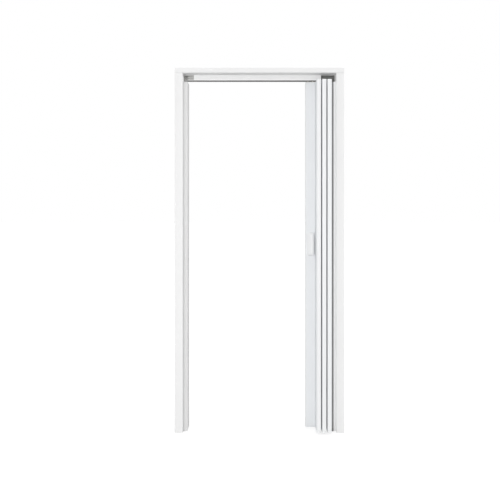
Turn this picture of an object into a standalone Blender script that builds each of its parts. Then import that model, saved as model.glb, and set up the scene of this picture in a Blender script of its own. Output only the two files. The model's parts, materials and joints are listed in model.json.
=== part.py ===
"""Folding door of hollow slats, folded back to the right of its lined opening.

Metres, +Z up. X runs to the right across the opening and the front faces -Y. The origin is on the
floor, under the middle of the track. The lining boards and architraves frame the opening, a track
hangs under the head, and the door is a chain: wall strip, half slat, hinge link, slat, and so on to
the lead panel. Each hinge link is a double knuckle, so the slats fold flat against each other.
"""

import math

import bmesh
import bpy
from mathutils import Vector

# Clear opening between the lining boards
OPENING_WIDTH = 0.880
OPENING_HEIGHT = 2.065

# Lining boards; the head is housed in a trench in each jamb
LINING_THICKNESS = 0.020
LINING_DEPTH = 0.090
TRENCH_DEPTH = 0.006

# Architraves, planted on both edges of the lining. Their backs are relieved between two lands
ARCHITRAVE_THICKNESS = 0.010
SIDE_ARCHITRAVE_WIDTH = 0.045
HEAD_ARCHITRAVE_WIDTH = 0.029
ARCHITRAVE_SETBACK = 0.001
ARCHITRAVE_ROUND = 0.002
LINING_LAND = 0.010
WALL_LAND = 0.006
RELIEF_DEPTH = 0.0012

# Gaps and cutter overrun
FIT = 0.0003
OVERRUN = 0.004

# Top track: a hollow section with an inner C-channel for the runners
TRACK_DEPTH = 0.030
TRACK_HEIGHT = 0.032
TRACK_WALL = 0.0018
TRACK_SLOT = 0.0070
TRACK_LIP = 0.0030
CHANNEL_HEIGHT = 0.015
TRACK_ROUND = 0.0025
GROOVE_WIDTH = 0.0020
GROOVE_DEPTH = 0.0008
WINDOW_LENGTH = 0.058
NECK_NOTCH_LENGTH = 0.020

# Strike profile on the left jamb, wall profile on the right jamb: one section, handed
JAMB_PROFILE_WIDTH = 0.024
JAMB_PROFILE_DEPTH = 0.070
JAMB_SLOT_WIDTH = 0.012
JAMB_SLOT_DEPTH = 0.016
JAMB_PROFILE_WALL = 0.0018
JAMB_PROFILE_ROUND = 0.0020
JAMB_PROFILE_TO_TRACK = 0.012

# Hinge knuckles: a round bead turns in an open socket
BEAD_RADIUS = 0.0026
SOCKET_CLEARANCE = 0.00025
SOCKET_WALL = 0.00105
NECK_THICKNESS = 0.0014
NECK_CLEARANCE = 0.0002
SHOULDER_GAP = 0.0006
LINK_PITCH = 0.01525
LINK_WEB = 0.0016
LINK_WEB_RECESS = 0.0006
CLOSED_DEGREES = 85.0

# Slats
SLAT_COUNT = 6
SLAT_THICKNESS = 0.008
SLAT_WALL = 0.0012
SLAT_CHAMBERS = 5
SLAT_ROUND = 0.0015
SLAT_BOTTOM = 0.010
SLAT_TO_TRACK = 0.007

# Wall strip
JAMB_PIVOT_OFFSET = 0.0083
STRIP_WEB = 0.0030

# Lead panel, its edge seal and its bottom cap
LEAD_WIDTH = 0.062
LEAD_THICKNESS = 0.010
LEAD_WALL = 0.0015
LEAD_ROUND = 0.0015
SEAL_PROUD = 0.0020
SEAL_WIDTH = 0.0060
SEAL_STEM = 0.0026
SEAL_STEM_DEPTH = 0.0030
CAP_THICKNESS = 0.0017
CAP_PLUG_DEPTH = 0.010

# Hangers: runner disc, neck, flange and plug
RUNNER_RADIUS = 0.0065
RUNNER_THICKNESS = 0.0030
RUNNER_EDGE = 0.0006
NECK_RADIUS = 0.0025
FLANGE_THICKNESS = 0.0020
FLANGE_OVERLAP = 0.0020
PLUG_DEPTH = 0.014
LEAD_HANGER_SPACING = 0.028
LEAD_CHAMBER = 0.018

# Pull handles, one on each face of the lead panel
HANDLE_WIDTH = 0.038
HANDLE_HEIGHT = 0.137
HANDLE_PROUD = 0.014
HANDLE_EDGE = 0.0018
HANDLE_CREST = 0.030
HANDLE_CORNER = 0.011
HANDLE_SETBACK = 0.0105
HANDLE_TO_STRIKE = 0.0010
HANDLE_CENTRE_HEIGHT = 1.079
HANDLE_SHELL = 0.0022
RECESS_WIDTH = 0.027
RECESS_END_SETBACK = 0.0225
RECESS_FLOOR = 0.0020

# Screws
SCREW_RADIUS = 0.0017
SCREW_HEAD_RADIUS = 0.0031
SCREW_HEAD_HEIGHT = 0.0017
SCREW_LENGTH = 0.028
SCREW_TIP = 0.004
TRACK_SCREW_SETBACK = 0.090
PROFILE_SCREW_SETBACK = 0.150
SCREWS_PER_PROFILE = 3
HANDLE_SCREW_RADIUS = 0.0018
HANDLE_SCREW_HEAD_RADIUS = 0.0034
HANDLE_SCREW_HEAD = 0.0020
HANDLE_SCREW_SETBACK = 0.0115
HANDLE_SCREW_SEAT = 0.0040
HANDLE_SCREW_BITE = 0.0055

# Facets of the round forms
SOCKET_STEPS = 16
BEAD_STEPS = 16
CORNER_STEPS = 4
TURNED_STEPS = 24
SCREW_STEPS = 12
HANDLE_ROWS = 22
HANDLE_COLUMNS = 12
HALF_STEP_SHARE = 0.5
SWELL_POWER = 1.5
SMOOTH_DEGREES = 35.0
FLAT_DEGREES = 0.05

# Worked out from the sizes above
HALF_OPENING = OPENING_WIDTH / 2
HALF_LINING_DEPTH = LINING_DEPTH / 2
ARCHITRAVE_INNER_X = HALF_OPENING + ARCHITRAVE_SETBACK
ARCHITRAVE_INNER_Z = OPENING_HEIGHT + ARCHITRAVE_SETBACK
TRACK_TOP = OPENING_HEIGHT - FIT
TRACK_BOTTOM = TRACK_TOP - TRACK_HEIGHT
CHANNEL_FLOOR = TRACK_BOTTOM + TRACK_LIP
CHANNEL_ROOF = CHANNEL_FLOOR + CHANNEL_HEIGHT
HALF_CHANNEL = RUNNER_RADIUS + 2 * FIT
PROFILE_TOP = TRACK_BOTTOM - JAMB_PROFILE_TO_TRACK
JAMB_MOUTH_X = HALF_OPENING - FIT - JAMB_PROFILE_WIDTH
JAMB_FLOOR_X = JAMB_MOUTH_X + JAMB_SLOT_DEPTH
JAMB_PIVOT_X = JAMB_MOUTH_X - JAMB_PIVOT_OFFSET
SOCKET_INNER = BEAD_RADIUS + SOCKET_CLEARANCE
SOCKET_OUTER = SOCKET_INNER + SOCKET_WALL
SHOULDER = SOCKET_OUTER + SHOULDER_GAP
CLOSED_ANGLE = math.radians(CLOSED_DEGREES)
NECK_ALLOWANCE = math.asin((NECK_THICKNESS / 2 + NECK_CLEARANCE) / SOCKET_INNER)
LINK_COUNT = SLAT_COUNT - 1
STRIKE_ENGAGEMENT = HANDLE_SETBACK - HANDLE_TO_STRIKE
LEAD_EDGE_CLOSED_X = -JAMB_MOUTH_X - STRIKE_ENGAGEMENT
DOOR_REACH = JAMB_PIVOT_X - LINK_COUNT * LINK_PITCH - LEAD_EDGE_CLOSED_X - LEAD_WIDTH
SLAT_PITCH = DOOR_REACH / (LINK_COUNT * math.sin(CLOSED_ANGLE))
SLAT_TOP = TRACK_BOTTOM - SLAT_TO_TRACK
LEAD_PIVOT_X = JAMB_PIVOT_X - LINK_COUNT * LINK_PITCH
RUNNER_BOTTOM = CHANNEL_FLOOR + FIT

RIGHT_ANGLE = math.pi / 2
HALF_TURN = math.pi
FULL_TURN = 2 * math.pi


def clear_scene():
    for old in list(bpy.data.objects):
        bpy.data.objects.remove(old, do_unlink=True)


def finish(name, colour, roughness, metallic=0.0):
    material = bpy.data.materials.new(name)
    material.use_nodes = True
    shader = material.node_tree.nodes["Principled BSDF"]
    shader.inputs["Base Color"].default_value = (*colour, 1.0)
    shader.inputs["Roughness"].default_value = roughness
    shader.inputs["Metallic"].default_value = metallic
    return material


def place_mesh(bm, name, material, origin=(0, 0, 0), turn=0.0):
    """Turns the bmesh into an object whose origin is at its place or on its joint's axis."""
    bmesh.ops.recalc_face_normals(bm, faces=bm.faces)
    mesh = bpy.data.meshes.new(name)
    bm.to_mesh(mesh)
    bm.free()
    mesh.shade_smooth()
    mesh.set_sharp_from_angle(angle=math.radians(SMOOTH_DEGREES))
    piece = bpy.data.objects.new(name, mesh)
    piece.location = origin
    piece.rotation_euler.z = turn
    bpy.context.scene.collection.objects.link(piece)
    if material:
        mesh.materials.append(material)
    return piece


def extruded(name, loops, start, end, along, material, origin=(0, 0, 0), turn=0.0):
    """Extrudes an outline and its holes. Along Z the outline lies in XY, and along X in YZ."""
    bm = bmesh.new()
    edges = []
    for loop in loops:
        if along == "Z":
            ring = [bm.verts.new((a, b, start)) for a, b in loop]
        else:
            ring = [bm.verts.new((start, a, b)) for a, b in loop]
        edges += [bm.edges.new((ring[i - 1], ring[i])) for i in range(len(ring))]
    way = Vector((0, 0, 1)) if along == "Z" else Vector((1, 0, 0))
    filled = bmesh.ops.triangle_fill(bm, use_beauty=True, edges=edges, normal=way)
    faces = [item for item in filled["geom"] if isinstance(item, bmesh.types.BMFace)]
    grown = bmesh.ops.extrude_face_region(bm, geom=faces)
    moved = [item for item in grown["geom"] if isinstance(item, bmesh.types.BMVert)]
    bmesh.ops.translate(bm, verts=moved, vec=way * (end - start))
    return place_mesh(bm, name, material, origin, turn)


def turned(name, profile, steps, material, origin=(0, 0, 0)):
    """Turns a profile of (radius, height) points round Z. Its first and last radius are zero."""
    bm = bmesh.new()
    rings = []
    for radius, height in profile:
        if radius == 0:
            rings.append([bm.verts.new((0, 0, height))])
            continue
        angles = [FULL_TURN * (i + HALF_STEP_SHARE) / steps for i in range(steps)]
        rings.append([bm.verts.new((radius * math.cos(a), radius * math.sin(a), height)) for a in angles])
    for low, high in zip(rings, rings[1:]):
        for i in range(steps):
            corners = [low[i % len(low)], low[(i + 1) % len(low)]]
            corners += [high[(i + 1) % len(high)], high[i % len(high)]]
            bm.faces.new(list(dict.fromkeys(corners)))
    return place_mesh(bm, name, material, origin)


def block(name, low, high, material=None):
    return extruded(name, [rectangle(*low[:2], *high[:2])], low[2], high[2], "Z", material)


def as_cutter(piece):
    piece.hide_render = True
    piece.display_type = "WIRE"
    return piece


def cut(piece, cutter):
    modifier = piece.modifiers.new("cut by " + cutter.name, "BOOLEAN")
    modifier.operation = "DIFFERENCE"
    modifier.solver = "EXACT"
    modifier.object = as_cutter(cutter)


def fuse(piece, addition):
    modifier = piece.modifiers.new("joined to " + addition.name, "BOOLEAN")
    modifier.operation = "UNION"
    modifier.solver = "EXACT"
    modifier.object = as_cutter(addition)


def arc(centre, radius, start, end, steps):
    """Points of an arc, with both of its ends."""
    angles = [start + (end - start) * i / steps for i in range(steps + 1)]
    return [(centre[0] + radius * math.cos(a), centre[1] + radius * math.sin(a)) for a in angles]


def rectangle(low_a, low_b, high_a, high_b):
    return [(low_a, low_b), (high_a, low_b), (high_a, high_b), (low_a, high_b)]


def mirrored(half):
    """A whole outline from its half on the positive side of the second axis."""
    return half + [(a, -b) for a, b in reversed(half)]


def make_linings(paint):
    jamb_outer = HALF_OPENING + LINING_THICKNESS
    jamb_top = OPENING_HEIGHT + LINING_THICKNESS
    head_reach = HALF_OPENING + TRENCH_DEPTH - FIT
    head = block(
        "head_lining",
        (-head_reach, -HALF_LINING_DEPTH, OPENING_HEIGHT),
        (head_reach, HALF_LINING_DEPTH, jamb_top),
        paint,
    )
    jambs = {}
    for name, side in (("left_jamb_lining", -1), ("right_jamb_lining", 1)):
        inner, outer = sorted((side * HALF_OPENING, side * jamb_outer))
        jamb = block(name, (inner, -HALF_LINING_DEPTH, 0), (outer, HALF_LINING_DEPTH, jamb_top), paint)
        near, far = sorted((side * (HALF_OPENING - OVERRUN), side * (HALF_OPENING + TRENCH_DEPTH)))
        trench = block(
            name + " trench",
            (near, -HALF_LINING_DEPTH - OVERRUN, OPENING_HEIGHT - FIT),
            (far, HALF_LINING_DEPTH + OVERRUN, jamb_top + OVERRUN),
        )
        cut(jamb, trench)
        jambs[side] = jamb
    return head, jambs


def architrave_section(width, face):
    """Section of a board from 0 to width, on the front (-1) or back (1) of the lining."""
    back = HALF_LINING_DEPTH + FIT
    relief = back + RELIEF_DEPTH
    front = back + ARCHITRAVE_THICKNESS
    turn_in = ARCHITRAVE_ROUND
    wall_land = width - WALL_LAND
    outline = [(0, back), (LINING_LAND, back), (LINING_LAND + RELIEF_DEPTH, relief)]
    outline += [(wall_land - RELIEF_DEPTH, relief), (wall_land, back), (width, back)]
    outline += arc((width - turn_in, front - turn_in), turn_in, 0, RIGHT_ANGLE, CORNER_STEPS)
    outline += arc((turn_in, front - turn_in), turn_in, RIGHT_ANGLE, HALF_TURN, CORNER_STEPS)
    return [(a, face * b) for a, b in outline]


def make_architraves(paint):
    for place, face in (("front", -1), ("back", 1)):
        for hand, side in (("left", -1), ("right", 1)):
            section = architrave_section(SIDE_ARCHITRAVE_WIDTH, face)
            outline = [(side * (ARCHITRAVE_INNER_X + a), b) for a, b in section]
            name = f"{place}_{hand}_architrave"
            extruded(name, [outline], 0, ARCHITRAVE_INNER_Z - FIT, "Z", paint)
        section = architrave_section(HEAD_ARCHITRAVE_WIDTH, face)
        outline = [(b, ARCHITRAVE_INNER_Z + a) for a, b in section]
        reach = ARCHITRAVE_INNER_X + SIDE_ARCHITRAVE_WIDTH
        extruded(f"{place}_head_architrave", [outline], -reach, reach, "X", paint)


def track_section():
    """Half the section is drawn on the +Y side, from the top outer edge round to the channel roof."""
    half_depth = TRACK_DEPTH / 2
    half_slot = TRACK_SLOT / 2
    groove_middle = TRACK_TOP - TRACK_HEIGHT / 2
    groove_inner = half_depth - GROOVE_DEPTH
    low = TRACK_BOTTOM
    half = [(half_depth, TRACK_TOP)]
    half += [(half_depth, groove_middle + GROOVE_WIDTH / 2)]
    half += [(groove_inner, groove_middle)]
    half += [(half_depth, groove_middle - GROOVE_WIDTH / 2)]
    half += arc((half_depth - TRACK_ROUND, low + TRACK_ROUND), TRACK_ROUND, 0, -RIGHT_ANGLE, CORNER_STEPS)
    half += [(half_slot, low), (half_slot, CHANNEL_FLOOR)]
    half += [(HALF_CHANNEL, CHANNEL_FLOOR), (HALF_CHANNEL, CHANNEL_ROOF)]
    outline = half + [(-a, b) for a, b in reversed(half)]
    inner = HALF_CHANNEL + TRACK_WALL
    outer = groove_inner - TRACK_WALL
    side_chamber = rectangle(inner, CHANNEL_FLOOR, outer, TRACK_TOP - TRACK_WALL)
    far_chamber = [(-a, b) for a, b in side_chamber]
    top_chamber = rectangle(-HALF_CHANNEL, CHANNEL_ROOF + TRACK_WALL, HALF_CHANNEL, TRACK_TOP - TRACK_WALL)
    return [outline, side_chamber, far_chamber, top_chamber]


def make_track(plastic):
    reach = HALF_OPENING - FIT
    track = extruded("top_track", track_section(), -reach, reach, "X", plastic)
    front = -TRACK_DEPTH / 2 - OVERRUN
    half_slot = TRACK_SLOT / 2
    for hand, side in (("left", -1), ("right", 1)):
        near, far = sorted((side * (reach + OVERRUN), side * (HALF_OPENING - WINDOW_LENGTH)))
        window = block(
            hand + " loading window",
            (near, front, CHANNEL_FLOOR),
            (far, -half_slot, TRACK_TOP - TRACK_WALL),
        )
        cut(track, window)
        near, far = sorted((side * (reach + OVERRUN), side * (HALF_OPENING - NECK_NOTCH_LENGTH)))
        notch = block(
            hand + " neck notch",
            (near, front, TRACK_BOTTOM - OVERRUN),
            (far, 0, CHANNEL_FLOOR + OVERRUN),
        )
        cut(track, notch)
    return track


def jamb_section(side):
    """Section in XY: its back is on the lining, and its slot opens towards the middle of the opening."""
    half_depth = JAMB_PROFILE_DEPTH / 2
    half_slot = JAMB_SLOT_WIDTH / 2
    turn_in = JAMB_PROFILE_ROUND
    groove_middle = JAMB_PROFILE_WIDTH / 2
    width = JAMB_PROFILE_WIDTH
    groove_inner = half_depth - GROOVE_DEPTH
    half = [(0, half_depth)]
    half += [(groove_middle - GROOVE_WIDTH / 2, half_depth)]
    half += [(groove_middle, groove_inner)]
    half += [(groove_middle + GROOVE_WIDTH / 2, half_depth)]
    half += arc((width - turn_in, half_depth - turn_in), turn_in, RIGHT_ANGLE, 0, CORNER_STEPS)
    half += [(width, half_slot), (width - JAMB_SLOT_DEPTH, half_slot)]
    wall = JAMB_PROFILE_WALL
    inner = half_slot + wall
    outer = groove_inner - wall
    side_chamber = rectangle(wall, inner, width - wall, outer)
    far_chamber = [(a, -b) for a, b in side_chamber]
    floor_back = width - JAMB_SLOT_DEPTH - wall
    back_chamber = rectangle(wall, -half_slot, floor_back, half_slot)
    back = side * (HALF_OPENING - FIT)
    loops = [mirrored(half), side_chamber, far_chamber, back_chamber]
    return [[(back - side * a, b) for a, b in loop] for loop in loops]


def make_jamb_profiles(plastic):
    strike = extruded("strike_profile", jamb_section(-1), 0, PROFILE_TOP, "Z", plastic)
    wall = extruded("wall_profile", jamb_section(1), 0, PROFILE_TOP, "Z", plastic)
    return {-1: strike, 1: wall}


def screw_profile(grow, head_overrun):
    """Countersunk screw along +Z with its head's face at 0. Its hole is the same shape, grown."""
    radius = SCREW_RADIUS + grow
    head = SCREW_HEAD_RADIUS + grow
    profile = [(0, -head_overrun), (head, -head_overrun), (head, 0)]
    if head_overrun == 0:
        profile = [(0, 0), (head, 0)]
    profile += [(radius, SCREW_HEAD_HEIGHT), (radius, SCREW_LENGTH - SCREW_TIP + grow)]
    profile += [(0, SCREW_LENGTH + grow)]
    return profile


def drive_screw(name, point, tilt, steel, pieces):
    """Puts a countersunk screw at a point and cuts its hole in each of the pieces."""
    screw = turned(name, screw_profile(0, 0), SCREW_STEPS, steel, point)
    hole = turned(name + " hole", screw_profile(FIT, OVERRUN), SCREW_STEPS, None, point)
    screw.rotation_euler.y = tilt
    hole.rotation_euler.y = tilt
    for piece in pieces:
        cut(piece, hole)


def along_run(start, end, count):
    """Evenly spaced places along a run, with both of its ends."""
    return [start + (end - start) * i / (count - 1) for i in range(count)]


def make_screws(steel, track, head, profiles, jambs):
    reach = HALF_OPENING - TRACK_SCREW_SETBACK
    for number, x in enumerate(along_run(-reach, reach, SCREWS_PER_PROFILE), 1):
        drive_screw(f"track_screw_{number}", (x, 0, CHANNEL_ROOF), 0, steel, (track, head))
    heights = along_run(PROFILE_SCREW_SETBACK, PROFILE_TOP - PROFILE_SCREW_SETBACK, SCREWS_PER_PROFILE)
    for label, side in (("strike_screw", -1), ("wall_screw", 1)):
        for number, z in enumerate(heights, 1):
            place = (side * JAMB_FLOOR_X, 0, z)
            drive_screw(f"{label}_{number}", place, side * RIGHT_ANGLE, steel, (profiles[side], jambs[side]))


def socket_arcs(centre, folded, closed):
    """Outer and inner arcs of a socket, open from the folded to the closed direction of its slat."""
    sense = 1 if closed > folded else -1
    start = closed + sense * NECK_ALLOWANCE
    end = folded - sense * NECK_ALLOWANCE + sense * FULL_TURN
    outer = arc(centre, SOCKET_OUTER, start, end, SOCKET_STEPS)
    inner = arc(centre, SOCKET_INNER, end, start, SOCKET_STEPS)
    return outer, inner


def bead(centre, way, steps):
    """Round bead whose neck leaves it in the direction way, with the neck's two sides as its ends."""
    gap = math.asin(NECK_THICKNESS / 2 / BEAD_RADIUS)
    return arc(centre, BEAD_RADIUS, way + gap, way + FULL_TURN - gap, steps)


def slat_section(length, chambers):
    """Section along +X, from the bead on its own pivot at 0 to the bead at its far pivot."""
    half = SLAT_THICKNESS / 2
    neck = NECK_THICKNESS / 2
    turn_in = SLAT_ROUND
    far = length - SHOULDER
    outline = bead((0, 0), 0, BEAD_STEPS)
    outline += [(SHOULDER, -neck)]
    outline += arc((SHOULDER + turn_in, turn_in - half), turn_in, HALF_TURN, 3 * RIGHT_ANGLE, CORNER_STEPS)
    outline += arc((far - turn_in, turn_in - half), turn_in, -RIGHT_ANGLE, 0, CORNER_STEPS)
    outline += [(far, -neck)]
    outline += bead((length, 0), HALF_TURN, BEAD_STEPS)
    outline += [(far, neck)]
    outline += arc((far - turn_in, half - turn_in), turn_in, 0, RIGHT_ANGLE, CORNER_STEPS)
    outline += arc((SHOULDER + turn_in, half - turn_in), turn_in, RIGHT_ANGLE, HALF_TURN, CORNER_STEPS)
    outline += [(SHOULDER, neck)]
    room = far - SHOULDER - SLAT_WALL
    inner = half - SLAT_WALL
    holes = []
    for i in range(chambers):
        start = SHOULDER + SLAT_WALL + room * i / chambers
        end = SHOULDER + room * (i + 1) / chambers
        holes.append(rectangle(start, -inner, end, inner))
    return [outline] + holes


def slat_chamber_width():
    return (SLAT_PITCH - 2 * SHOULDER - SLAT_WALL) / SLAT_CHAMBERS - SLAT_WALL


def link_section(side):
    """Two sockets joined by a web on the outer side. Side is 1 where the slats lie towards +Y."""
    upward = RIGHT_ANGLE
    closed = RIGHT_ANGLE - CLOSED_ANGLE
    near_outer, near_inner = socket_arcs((0, 0), upward, closed)
    web_outer = SOCKET_OUTER - LINK_WEB_RECESS
    web_inner = web_outer - LINK_WEB
    junction = math.cos(math.asin(web_inner / SOCKET_OUTER)) * SOCKET_OUTER
    outer_junction = math.cos(math.asin(web_outer / SOCKET_OUTER)) * SOCKET_OUTER
    lower = [(a, b) for a, b in near_outer if b < -web_outer or a > 0 and b < 0]
    upper = [(a, b) for a, b in near_outer if b > -web_inner and a < 0]
    crown = [(a, b) for a, b in near_outer if b > 0 and a > 0]
    right = [(-outer_junction, -web_outer)] + list(reversed(lower)) + list(reversed(crown))
    right += list(reversed(near_inner))
    right += list(reversed(upper)) + [(-junction, -web_inner)]
    right = [(a + LINK_PITCH / 2, b) for a, b in right]
    whole = right + [(-a, b) for a, b in reversed(right)]
    return [[(a - LINK_PITCH / 2, side * b) for a, b in whole]]


def make_door_chain(slat_plastic, link_plastic, runner_plastic):
    half_pitch = SLAT_PITCH / 2
    for number in range(1, SLAT_COUNT + 1):
        x = JAMB_PIVOT_X - (number - 1) * LINK_PITCH
        half_slat = number in (1, SLAT_COUNT)
        length = half_pitch if half_slat else SLAT_PITCH
        chambers = SLAT_CHAMBERS // 2 if half_slat else SLAT_CHAMBERS
        pivot_side = 1 if number % 2 else -1
        pivot_y = 0 if number == 1 else pivot_side * half_pitch
        loops = slat_section(length, chambers)
        turn = -pivot_side * RIGHT_ANGLE
        slat = extruded(f"slat_{number}", loops, SLAT_BOTTOM, SLAT_TOP, "Z", slat_plastic, (x, pivot_y, 0), turn)
        if not half_slat:
            hanger = make_hanger(f"hanger_{number}", slat_chamber_width(), SLAT_THICKNESS, SLAT_WALL, runner_plastic)
            hanger.parent = slat
            hanger.location = (half_pitch, 0, 0)
        if number < SLAT_COUNT:
            link_side = -pivot_side
            place = (x, link_side * half_pitch, 0)
            loops = link_section(-link_side)
            extruded(f"hinge_link_{number}", loops, SLAT_BOTTOM, SLAT_TOP, "Z", link_plastic, place)


def make_hanger(name, chamber_width, body_thickness, body_wall, plastic):
    """Runner disc on the track's lip, and a neck, flange and plug that carry the slat's top end."""
    neck_foot = SLAT_TOP + FIT + FLANGE_THICKNESS / 2
    edge = RUNNER_RADIUS - RUNNER_EDGE
    top = RUNNER_BOTTOM + RUNNER_THICKNESS
    profile = [(0, neck_foot), (NECK_RADIUS, neck_foot), (NECK_RADIUS, RUNNER_BOTTOM), (edge, RUNNER_BOTTOM)]
    profile += [(RUNNER_RADIUS, RUNNER_BOTTOM + RUNNER_EDGE), (RUNNER_RADIUS, top - RUNNER_EDGE)]
    profile += [(edge, top), (0, top)]
    hanger = turned(name, profile, TURNED_STEPS, plastic)
    half_plug = chamber_width / 2 - FIT
    half_body = body_thickness / 2
    plug_half_depth = half_body - body_wall - FIT
    half_flange = half_plug + FLANGE_OVERLAP
    flange_foot = SLAT_TOP + FIT
    flange = block(
        name + " flange",
        (-half_flange, -half_body, flange_foot),
        (half_flange, half_body, flange_foot + FLANGE_THICKNESS),
    )
    plug = block(
        name + " plug",
        (-half_plug, -plug_half_depth, SLAT_TOP - PLUG_DEPTH),
        (half_plug, plug_half_depth, flange_foot + FLANGE_THICKNESS / 2),
    )
    for addition in (flange, plug):
        addition.parent = hanger
        fuse(hanger, addition)
    return hanger


def wall_strip_section():
    """A slotted-in base, and a web to the socket that holds the first slat's bead."""
    folded = 3 * RIGHT_ANGLE
    closed = folded - CLOSED_ANGLE
    outer, inner = socket_arcs((JAMB_PIVOT_X, 0), folded, closed)
    half_web = STRIP_WEB / 2
    upper = [(a, b) for a, b in outer if b > half_web or a < JAMB_PIVOT_X and b > 0]
    lower = [(a, b) for a, b in outer if b < -half_web]
    junction_x = JAMB_PIVOT_X + math.sqrt(SOCKET_OUTER**2 - half_web**2)
    half_base = JAMB_SLOT_WIDTH / 2 - FIT
    base_start = JAMB_MOUTH_X + FIT
    base_end = JAMB_FLOOR_X - FIT
    outline = upper + [(junction_x, half_web), (base_start, half_web), (base_start, half_base)]
    outline += [(base_end, half_base), (base_end, -half_base), (base_start, -half_base)]
    outline += [(base_start, -half_web), (junction_x, -half_web)]
    outline += lower + inner
    return [outline]


def make_wall_strip(plastic):
    extruded("wall_strip", wall_strip_section(), SLAT_BOTTOM, SLAT_TOP, "Z", plastic)


def lead_section():
    """Section in XY about the lead pivot at 0, with a socket at its right end and a seal groove at its left."""
    folded = 3 * RIGHT_ANGLE
    closed = folded + CLOSED_ANGLE
    outer, inner = socket_arcs((0, 0), folded, closed)
    half = LEAD_THICKNESS / 2
    turn_in = LEAD_ROUND
    half_web = STRIP_WEB / 2
    left = SEAL_PROUD - LEAD_WIDTH
    right = -SHOULDER
    junction = -math.sqrt(SOCKET_OUTER**2 - half_web**2)
    upper = [(a, b) for a, b in outer if b > half_web or a > 0 and b > -half_web]
    lower = [(a, b) for a, b in outer if b < -half_web]
    half_stem = SEAL_STEM / 2 + FIT
    groove = left + SEAL_STEM_DEPTH + FIT
    outline = upper + [(junction, half_web), (right, half_web)]
    outline += arc((right - turn_in, half - turn_in), turn_in, 0, RIGHT_ANGLE, CORNER_STEPS)
    outline += arc((left + turn_in, half - turn_in), turn_in, RIGHT_ANGLE, HALF_TURN, CORNER_STEPS)
    outline += [(left, half_stem), (groove, half_stem), (groove, -half_stem), (left, -half_stem)]
    outline += arc((left + turn_in, turn_in - half), turn_in, HALF_TURN, 3 * RIGHT_ANGLE, CORNER_STEPS)
    outline += arc((right - turn_in, turn_in - half), turn_in, -RIGHT_ANGLE, 0, CORNER_STEPS)
    outline += [(right, -half_web), (junction, -half_web)]
    outline += lower + inner
    return [outline] + [rectangle(*hole) for hole in lead_chambers()]


def lead_hanger_places():
    """Centres of the two hangers from the lead pivot. The first is next to the seal's groove."""
    groove_end = SEAL_PROUD + SEAL_STEM_DEPTH + FIT - LEAD_WIDTH
    first = groove_end + LEAD_WALL + LEAD_CHAMBER / 2
    return first, first + LEAD_HANGER_SPACING


def lead_chambers():
    """Corners of the lead panel's three chambers. The hangers plug into the outer two."""
    inner = LEAD_THICKNESS / 2 - LEAD_WALL
    half_room = LEAD_CHAMBER / 2
    first, second = lead_hanger_places()
    middle_start = first + half_room + LEAD_WALL
    middle_end = second - half_room - LEAD_WALL
    return [
        (first - half_room, -inner, first + half_room, inner),
        (middle_start, -inner, middle_end, inner),
        (second - half_room, -inner, second + half_room, inner),
    ]


def make_lead_panel(slat_plastic, seal_rubber, runner_plastic):
    place = (LEAD_PIVOT_X, 0, 0)
    start = SLAT_BOTTOM + CAP_THICKNESS + FIT
    lead = extruded("lead_panel", lead_section(), start, SLAT_TOP, "Z", slat_plastic, place)
    for name, x in zip(("left_lead_hanger", "right_lead_hanger"), lead_hanger_places()):
        hanger = make_hanger(name, LEAD_CHAMBER, LEAD_THICKNESS, LEAD_WALL, runner_plastic)
        hanger.parent = lead
        hanger.location = (x, 0, 0)
    seal = extruded("lead_edge_seal", [seal_section()], start, SLAT_TOP, "Z", seal_rubber)
    seal.parent = lead
    make_bottom_cap(slat_plastic).parent = lead
    return lead


def seal_section():
    """Bulb with a domed face, and a stem that sits in the lead panel's groove."""
    face = -LEAD_WIDTH
    seat = face + SEAL_PROUD - FIT
    stem_end = face + SEAL_PROUD + SEAL_STEM_DEPTH
    half_stem = SEAL_STEM / 2
    half = SEAL_WIDTH / 2
    outline = [(stem_end, -half_stem), (stem_end, half_stem), (seat, half_stem), (seat, half)]
    for i in range(1, 2 * CORNER_STEPS):
        angle = HALF_TURN * i / (2 * CORNER_STEPS)
        outline.append((seat - (seat - face) * math.sin(angle), half * math.cos(angle)))
    outline += [(seat, -half), (seat, -half_stem)]
    return outline


def make_bottom_cap(plastic):
    """End cap under the lead panel: a plate with a plug in each outer chamber."""
    half = LEAD_THICKNESS / 2
    left = SEAL_PROUD - LEAD_WIDTH
    top = SLAT_BOTTOM + CAP_THICKNESS
    cap = block("lead_bottom_cap", (left, -half, SLAT_BOTTOM), (-SHOULDER, half, top), plastic)
    chambers = lead_chambers()
    for number, hole in enumerate((chambers[0], chambers[2]), 1):
        plug = block(
            f"cap plug {number}",
            (hole[0] + FIT, hole[1] + FIT, SLAT_BOTTOM + CAP_THICKNESS / 2),
            (hole[2] - FIT, hole[3] - FIT, top + CAP_PLUG_DEPTH),
        )
        plug.parent = cap
        fuse(cap, plug)
    return cap


def handle_height(x):
    """Height of the handle's face above the panel: it swells from the left edge to the crest."""
    share = min(x / HANDLE_CREST, 1.0)
    return HANDLE_EDGE + (HANDLE_PROUD - HANDLE_EDGE) * math.sin(RIGHT_ANGLE * share) ** SWELL_POWER


def handle_inset(z):
    """How far the rounded outline stands in from the straight sides at a height from the middle."""
    past = abs(z) - (HANDLE_HEIGHT / 2 - HANDLE_CORNER)
    if past <= 0:
        return 0
    return HANDLE_CORNER - math.sqrt(max(HANDLE_CORNER**2 - past**2, 0))


def handle_end_share(z):
    """The swell dies away over the handle's two ends."""
    room = HANDLE_HEIGHT / 2 - abs(z)
    share = min(room / HANDLE_CORNER, 1.0)
    return math.sqrt(1 - (1 - share) ** 2)


def handle_rows():
    """Heights of the handle's rows, from the middle, closer together over its rounded ends."""
    end = HANDLE_HEIGHT / 2
    return [-end * math.cos(HALF_TURN * i / HANDLE_ROWS) for i in range(HANDLE_ROWS + 1)]


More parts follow.
